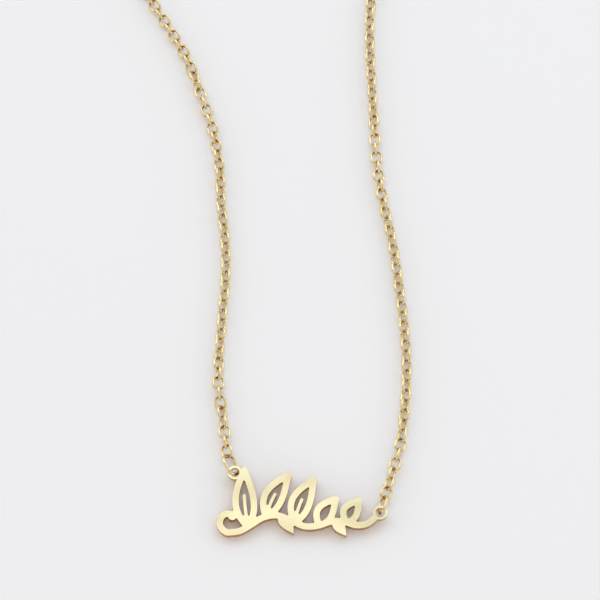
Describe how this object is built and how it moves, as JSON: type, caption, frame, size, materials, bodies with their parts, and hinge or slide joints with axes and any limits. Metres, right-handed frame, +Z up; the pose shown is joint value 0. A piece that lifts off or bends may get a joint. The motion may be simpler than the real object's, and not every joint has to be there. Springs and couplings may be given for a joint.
{
  "type": "nameplate necklace",
  "caption": "Fine cable-chain necklace lying as an open loop, with a small flat branch-shaped plate hung between jump rings and a plain ring clasp.",
  "frame": {"origin": "middle of the necklace's extent, on the surface that it lies on", "axes": "+Y from the plate along the loop to the clasp, +Z up from the surface, +X to the right seen from above"},
  "size_m": [0.0629, 0.1784, 0.0032],
  "materials": {
    "plate_gold": "pale yellow gold plating, polished face",
    "chain_gold": "yellow gold plating, polished wire"
  },
  "bodies": {
    "root": {"nameplate": "plate_gold", "left_jump_ring": "chain_gold", "right_jump_ring": "chain_gold", "left_chain": "chain_gold", "right_chain": "chain_gold", "clasp_ring": "chain_gold", "clasp": "chain_gold", "end_ring": "chain_gold"}
  },
  "joints": []
}
